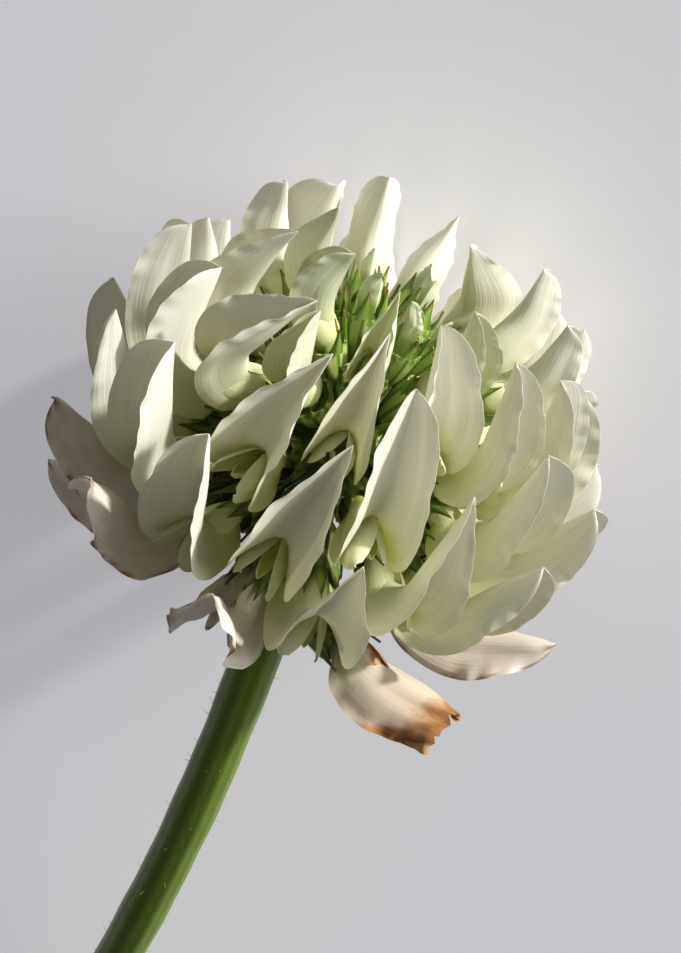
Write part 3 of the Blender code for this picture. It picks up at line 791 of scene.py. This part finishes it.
def add_head_axis(piece):
    """The short thick axis that all the florets grow from."""
    heights = np.array(AXIS_HEIGHTS) * MM
    radii = np.array(AXIS_RADII) * MM
    centres = np.stack([0 * heights, 0 * heights, heights], axis=-1)
    frame = np.array([[1.0, 0.0, 0.0], [0.0, 1.0, 0.0]])
    points, faces, _, across = tube_mesh(centres, frame, radii, AXIS_COLUMNS)
    # Its age of 0.4 gives the axis the calyx material's near-black painted shade
    piece.add(points, faces, along=0.05, across=across, age=0.4)


def stem_centre(share):
    """Places on the stalk's centre line, from the head at 0 to the cut end at 1."""
    share = np.asarray(share, float)
    return np.stack([
        -STEM_DROOP * share * share,
        STEM_SWAY * np.sin(math.pi * share),
        AXIS_FOOT - SEAT_GAP - STEM_LENGTH * share,
    ], axis=-1)


def add_stalk(piece, rng):
    """The stalk with its rounded ridges, a flare under the head and a cut end."""
    share = np.concatenate([[-0.012], np.linspace(0.0, 1.0, STALK_ROWS)])
    centres = stem_centre(share)
    frame = np.array([[1.0, 0.0, 0.0], [0.0, -1.0, 0.0]])
    swell = 0.012 * np.sin(share * 31) + 0.01 * np.sin(share * 67 + 1)
    radii = STEM_RADIUS * (0.97 + swell + STALK_FLARE * np.exp(-((share / 0.03) ** 2)))
    ridges = dict(ridge=STALK_RIDGE_HEIGHT, ridges=STALK_RIDGES)
    points, faces, along, across = tube_mesh(centres, frame, radii, STALK_COLUMNS, **ridges)
    piece.add(points, faces, along=along, across=across)
    for _ in range(STALK_HAIRS):
        add_hair(piece, rng)


def add_hair(piece, rng):
    """One short fine hair that leans towards the head."""
    share = rng.uniform(0.01, 0.99)
    turn = rng.uniform(0, 2 * math.pi)
    out = np.array([math.cos(turn), math.sin(turn), 0.0])
    root = stem_centre(share) + out * STEM_RADIUS * 0.96
    lean = out + np.array([0, 0, rng.uniform(*HAIR_LEAN)]) + 0.3 * rng.normal(size=3)
    tip = root + lean * rng.uniform(*HAIR_LENGTHS) * MM
    t = np.linspace(0, 1, 4)[:, None]
    centres = root * (1 - t) + tip * t + out * 0.08 * MM * (t * (1 - t))
    frames = across_frames(np.gradient(centres, axis=0), np.array([0.3, 0.5, 1.0]))
    points, faces, _, _ = tube_mesh(centres, frames, HAIR_RADIUS * (1.05 - t[:, 0]), 4)
    piece.add(points, faces, along=share, across=1.0, tone=1.0)


class Shader:
    """A material's nodes, made and linked in one call each."""

    def __init__(self, name):
        self.material = bpy.data.materials.new(name)
        self.material.use_nodes = True
        self.tree = self.material.node_tree
        self.tree.nodes.clear()

    def node(self, kind, inputs=None, **settings):
        made = self.tree.nodes.new(kind)
        for key, value in settings.items():
            setattr(made, key, value)
        for key, value in (inputs or {}).items():
            if isinstance(value, bpy.types.NodeSocket):
                self.tree.links.new(value, made.inputs[key])
            else:
                made.inputs[key].default_value = value
        return made

    def value(self, name):
        return self.node("ShaderNodeAttribute", attribute_name=name).outputs["Fac"]

    def maths(self, operation, *terms, clamp=False):
        made = self.node("ShaderNodeMath", dict(enumerate(terms)), operation=operation, use_clamp=clamp)
        return made.outputs[0]

    def mix(self, factor, first, second, blend="MIX"):
        inputs = {0: factor, 6: first, 7: second}
        made = self.node("ShaderNodeMix", inputs, data_type="RGBA", blend_type=blend)
        return made.outputs[2]

    def span(self, value, low, high, to_low=0.0, to_high=1.0):
        """value from low to high, brought to to_low to to_high with level ends."""
        made = self.node(
            "ShaderNodeMapRange",
            {"Value": value, "From Min": low, "From Max": high, "To Min": to_low, "To Max": to_high},
            interpolation_type="SMOOTHSTEP",
        )
        return made.outputs["Result"]

    def shifted(self, value, noise, amount):
        """value moved up or down by noise, by half the amount at most."""
        swing = self.maths("MULTIPLY", self.maths("SUBTRACT", noise, 0.5), amount)
        return self.maths("ADD", value, swing)

    def blotches(self, lengthways, sideways, apart, detail):
        """Noise with so many blotches along and across a petal or tube, its own for each value of apart."""
        along = self.maths("MULTIPLY", self.value("along"), lengthways)
        across = self.maths("MULTIPLY", self.value("across"), sideways)
        place = self.node("ShaderNodeCombineXYZ", {0: along, 1: across, 2: apart}).outputs[0]
        made = self.node("ShaderNodeTexNoise", {"Vector": place, "Scale": 1.0, "Detail": detail})
        return made.outputs["Fac"]

    def ramp(self, factor, stops):
        """The colour at a factor between stops, each a place and a colour."""
        made = self.node("ShaderNodeValToRGB", {"Fac": factor})
        elements = made.color_ramp.elements
        while len(elements) < len(stops):
            elements.new(0.5)
        for element, (place, colour) in zip(elements, stops):
            element.position = place
            element.color = (*colour, 1.0)
        return made.outputs["Color"]

    def bump(self, height, distance, strength):
        made = self.node("ShaderNodeBump", {"Height": height, "Distance": distance, "Strength": strength})
        return made.outputs["Normal"]

    def finish(self, surface):
        self.node("ShaderNodeOutputMaterial", {"Surface": surface})
        return self.material

    def finish_leaf(self, colour, tint, normal, share, roughness):
        """Ends the material as a surface that lets a share of the light through, with a tint."""
        inputs = {"Base Color": colour, "Roughness": roughness, "Normal": normal}
        front = self.node("ShaderNodeBsdfPrincipled", inputs)
        front.inputs["Specular IOR Level"].default_value = LEAF_SPECULAR
        glow = self.mix(1.0, colour, tint, "MULTIPLY")
        through = self.node("ShaderNodeBsdfTranslucent", {"Color": glow, "Normal": normal})
        both = self.node("ShaderNodeMixShader", {0: share, 1: front.outputs[0], 2: through.outputs[0]})
        return self.finish(both.outputs[0])


def petal_material():
    """Cream-white petal: yellow-green foot, fine streaks, brown margins and a mauve tint with age."""
    shader = Shader("white_petal")
    along, across, age, tone, part = (shader.value(name) for name in VALUES)
    apart = shader.maths("MULTIPLY", tone, 17.0)
    fine = shader.blotches(1.2, 20.0, apart, detail=3.0)
    broad = shader.blotches(2.4, 1.6, apart, detail=2.0)
    patchy = shader.blotches(7.0, 4.0, apart, detail=4.0)
    colour = shader.ramp(shader.shifted(along, broad, 0.25), FRESH_PETAL)
    green = shader.span(age, 0.0, 0.3, 0.5, 0.0)
    colour = shader.mix(green, colour, YOUNG_GREEN)
    inner = shader.maths("MULTIPLY", part, shader.span(along, 0.4, 1.0, 1.5, 0.9), clamp=True)
    colour = shader.mix(inner, colour, INNER_YELLOW)
    streaks = shader.ramp(fine, PETAL_STREAKS)
    colour = shader.mix(shader.span(along, 0.15, 0.5, 0.15, 0.7), colour, streaks, "MULTIPLY")
    veins = shader.ramp(shader.blotches(1.6, 52.0, apart, detail=1.0), PETAL_VEINS)
    colour = shader.mix(shader.span(along, 0.1, 0.45, 0.1, 0.6), colour, veins, "MULTIPLY")
    mauve = shader.maths("MULTIPLY", shader.span(age, 0.5, 0.85), shader.span(patchy, 0.3, 0.7, 0.3, 0.8))
    colour = shader.mix(mauve, colour, AGED_MAUVE)
    edge = shader.span(shader.maths("ABSOLUTE", across), 0.86, 1.0)
    margin = shader.maths("MAXIMUM", edge, shader.span(along, 0.93, 1.0))
    worn = shader.maths("MULTIPLY", margin, shader.span(age, 0.5, 0.85))
    worn = shader.maths("MULTIPLY", worn, shader.span(patchy, 0.45, 0.62))
    colour = shader.mix(worn, colour, WORN_BROWN)
    normal = shader.bump(fine, distance=0.035 * MM, strength=0.6)
    return shader.finish_leaf(colour, THROUGH_PETAL, normal, share=0.34, roughness=0.48)


def withered_material():
    """Dry petal: beige and mauve, with faint brown veins and an orange-brown torn end."""
    shader = Shader("withered_petal")
    along, across, tone = (shader.value(name) for name in ("along", "across", "tone"))
    fine = shader.blotches(2.0, 13.0, tone, detail=4.0)
    patchy = shader.blotches(6.0, 4.0, tone, detail=5.0)
    edge = shader.span(shader.maths("ABSOLUTE", across), 0.6, 1.0, 0.0, 0.3)
    reach = shader.maths("ADD", shader.shifted(along, patchy, 0.6), edge)
    colour = shader.ramp(reach, DRY_PETAL)
    colour = shader.mix(0.2, colour, shader.ramp(fine, DRY_STREAKS), "MULTIPLY")
    normal = shader.bump(fine, distance=0.03 * MM, strength=0.3)
    return shader.finish_leaf(colour, THROUGH_DRY, normal, share=0.35, roughness=0.6)


def calyx_material():
    """Green calyx: dark ribs on a pale tube, dark teeth with red-brown tips, darker with age: partly real
    browning, partly painted shade of the head's depth.
    """
    shader = Shader("green_calyx")
    along, across, age, tone = (shader.value(name) for name in ("along", "across", "age", "tone"))
    speckle = shader.blotches(14.0, 2.0, tone, detail=3.0)
    tube = shader.mix(shader.span(across, -0.1, 0.8), CALYX_PALE, CALYX_RIB_GREEN)
    keeled = shader.span(shader.maths("ABSOLUTE", across), 0.0, 0.8)
    tooth = shader.mix(keeled, TOOTH_PALE, TOOTH_GREEN)
    colour = shader.mix(shader.span(along, 0.46, 0.56), tube, tooth)
    # Painted shade: calyces of older florets, their pedicels and the head's axis turn near-black olive,
    # standing in for the shade deep between the florets, besides some real browning with age
    old = shader.span(age, 0.32, 0.42, 0.0, 0.6)
    colour = shader.mix(old, colour, OLD_CALYX_AND_DEPTH_SHADE)
    red = shader.maths("MULTIPLY", shader.span(along, 0.84, 0.95), shader.span(speckle, 0.3, 0.6))
    colour = shader.mix(red, colour, TOOTH_TIP_RED)
    colour = shader.mix(0.4, colour, shader.ramp(speckle, CALYX_SPECKLES), "MULTIPLY")
    normal = shader.bump(speckle, distance=0.03 * MM, strength=0.5)
    return shader.finish_leaf(colour, THROUGH_CALYX, normal, share=0.2, roughness=0.42)


def stalk_material():
    """Green stalk: faint paler ridges, fine darker flecks and pale hairs."""
    shader = Shader("green_stalk")
    across, tone = shader.value("across"), shader.value("tone")
    fine = shader.blotches(45.0, 2.5, 0.0, detail=5.0)
    colour = shader.mix(shader.span(across, -0.9, 0.9), FURROW_GREEN, RIDGE_GREEN)
    colour = shader.mix(0.6, colour, shader.ramp(fine, STALK_FLECKS), "MULTIPLY")
    colour = shader.mix(tone, colour, HAIR_PALE)
    normal = shader.bump(fine, distance=0.03 * MM, strength=0.4)
    return shader.finish_leaf(colour, THROUGH_STALK, normal, share=0.1, roughness=0.38)


def floor_material():
    """A pale matt floor that glows a little, like a lit paper sheet."""
    shader = Shader("pale_floor")
    inputs = {"Base Color": FLOOR_COLOUR, "Roughness": FLOOR_ROUGHNESS}
    surface = shader.node("ShaderNodeBsdfPrincipled", inputs)
    surface.inputs["Emission Color"].default_value = FLOOR_GLOW
    surface.inputs["Emission Strength"].default_value = FLOOR_GLOW_STRENGTH
    surface.inputs["Specular IOR Level"].default_value = FLOOR_SPECULAR
    return shader.finish(surface.outputs[0])


def flower_to_world():
    """Matrix from the flower's frame to the world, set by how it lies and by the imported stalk's box."""
    up = -direction(math.radians(90 + CROWN_RISE), math.radians(LIES_ON_LONGITUDE))
    crown = np.array([0.0, 0.0, 1.0])
    back = unit(crown @ up * up - crown)
    turned = np.array([np.cross(back, up), back, up])
    turns = 2 * math.pi * np.arange(STEM_SIDES) / STEM_SIDES
    ring = np.stack([np.cos(turns), np.sin(turns), 0 * turns], axis=-1) * STEM_RADIUS
    stem = stem_centre(np.linspace(0, 1, STEM_RINGS))[:, None] + ring
    low = (stem.reshape(-1, 3) @ turned.T).min(axis=0)
    matrix = np.eye(4)
    matrix[:3, :3] = turned
    matrix[:3, 3] = np.array(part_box("stem")[0]) - low
    return matrix


def picture_axes():
    """The picture's right, up and towards-the-camera directions in the flower's frame."""
    polar = math.radians(CAMERA_FROM_CROWN)
    back = np.array([math.sin(polar), 0.0, math.cos(polar)])
    upright = unit(np.array([0.0, 0.0, 1.0]) - math.cos(polar) * back)
    level = np.cross(upright, back)
    roll = math.radians(CAMERA_ROLL)
    up = math.cos(roll) * upright - math.sin(roll) * level
    return np.cross(up, back), up, back


def add_camera(flower):
    """The camera, turned and placed so that the head sits in the picture where it should."""
    right, up, back = picture_axes()
    target = right * HEAD_LEFT_OF_CENTRE - up * HEAD_ABOVE_CENTRE
    place = np.eye(4)
    place[:3, :3] = np.column_stack([right, up, back])
    place[:3, 3] = target + back * CAMERA_DISTANCE
    camera = bpy.data.cameras.new("camera")
    camera.sensor_width = SENSOR
    camera.lens = SENSOR * CAMERA_DISTANCE / PICTURE_HEIGHT
    camera.clip_start = 1 * MM
    camera.clip_end = 5.0
    holder = bpy.data.objects.new("camera", camera)
    holder.matrix_world = Matrix((flower @ place).tolist())
    bpy.context.scene.collection.objects.link(holder)
    bpy.context.scene.camera = holder


def add_sun(name, flower, towards, strength, softness, colour):
    """A lamp that shines from a direction given as the picture's right, up and towards-the-camera."""
    shine = flower[:3, :3] @ (np.column_stack(picture_axes()) @ np.array(towards))
    lamp = bpy.data.lights.new(name, "SUN")
    lamp.energy = strength
    lamp.angle = math.radians(softness)
    lamp.color = colour
    holder = bpy.data.objects.new(name, lamp)
    holder.rotation_mode = "QUATERNION"
    holder.rotation_quaternion = Vector(shine).to_track_quat("Z", "Y")
    bpy.context.scene.collection.objects.link(holder)


def add_studio(flower):
    """A plain pale floor, even light from all round, and a key and a soft fill lamp from the right."""
    bpy.ops.mesh.primitive_plane_add(size=FLOOR_SIZE)
    floor = bpy.context.object
    floor.name = "floor"
    floor.data.materials.append(floor_material())
    add_sun("key", flower, *KEY_LAMP)
    add_sun("fill", flower, *FILL_LAMP)
    world = bpy.data.worlds.new("studio")
    world.use_nodes = True
    background = world.node_tree.nodes["Background"]
    background.inputs["Color"].default_value = SKY_COLOUR
    background.inputs["Strength"].default_value = SKY_STRENGTH
    bpy.context.scene.world = world
    bpy.context.scene.view_settings.view_transform = "Standard"


def dress(floret, number):
    """Gives a floret what only its fine shape has: openness, lobes, taper, relief and calyx."""
    rng = np.random.default_rng(SEED * 1000 + number)
    stage, age = floret["stage"], floret["age"]
    bud = stage == "bud"
    withered = stage == "withered"
    old = withered or stage == "aged"
    floret["lobe"] = 1.3 * floret["open"] * rng.uniform(0.6, 1.2)
    floret["spread"] = rng.uniform(-8, 10) * floret["open"] + SPREAD_BY_NUMBER.get(number, 0)
    floret["slim"] = 0.55 if bud else rng.uniform(0.88, 1.0)
    floret["taper"], floret["blunt"] = rng.uniform(2.7, 4.2), rng.uniform(0.36, 0.55)
    if number in POINTED:
        floret["taper"], floret["blunt"] = rng.uniform(1.5, 1.8), rng.uniform(0.75, 0.9)
    if withered:
        floret["taper"], floret["blunt"] = 5.0, 0.32
    floret["ripple"] = 0.06 + 0.1 * age + (0.16 if old else 0.0)
    floret["crinkle"] = rng.uniform(0.02, 0.05) + (0.04 if old else 0.0)
    floret["pleat"] = rng.uniform(0.008, 0.02) + (0.01 if old else 0.0)
    floret["crumple"] = 0.16 if old else 0.03
    floret["close"] = rng.uniform(-0.5, 0.7)
    floret["cut"] = 0.86 if withered else 1.0
    floret["ragged"] = 0.3 if withered else 0.0
    floret["mouth"] = 0.9 if bud else 1.0
    floret["tooth_width"] = 1.35 if bud else 1.0
    floret["close_teeth"] = math.radians(24 if bud else 0)
    floret["rng"] = rng


def build_petals(floret, number, materials, flower):
    """One floret's petals, which stand for its corolla."""
    rng = floret["rng"]
    stage = floret["stage"]
    values = dict(age=floret["age"], tone=number + rng.uniform(0, 0.5))
    piece = Piece()
    add_banner(piece, floret, rng, **values)
    if stage != "bud":
        add_wing(piece, floret, rng, 1, **values)
        add_wing(piece, floret, rng, -1, **values)
        add_keel(piece, floret, **values)
    slot = "petal_withered" if stage == "withered" else "petal_white"
    corolla = f"corolla_{stage}_{number:02d}"
    piece.build(f"petals_{stage}_{number:02d}", materials[slot], flower, [corolla])


def build_green_head(florets, materials, flower):
    """The head's axis with every floret's short stalk and calyx."""
    piece = Piece()
    add_head_axis(piece)
    for number, floret in enumerate(florets, 1):
        values = dict(age=floret["age"], tone=float(number))
        add_pedicel(piece, floret, **values)
        add_calyx(piece, floret, floret["rng"], **values)
    slot = "calyx_green"
    piece.build("calyces_and_axis", materials[slot], flower, ["head_axis_and_calyces"])


def build_stalk(materials, flower):
    piece = Piece()
    add_stalk(piece, np.random.default_rng(SEED))
    piece.build("ridged_stalk", materials["stalk_green"], flower, ["stem"])


def main():
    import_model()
    flower = flower_to_world()
    materials = {
        "petal_white": petal_material(),
        "petal_withered": withered_material(),
        "calyx_green": calyx_material(),
        "stalk_green": stalk_material(),
    }
    florets = all_florets()
    for number, floret in enumerate(florets, 1):
        dress(floret, number)
        build_petals(floret, number, materials, flower)
    build_green_head(florets, materials, flower)
    build_stalk(materials, flower)
    add_studio(flower)
    add_camera(flower)


main()
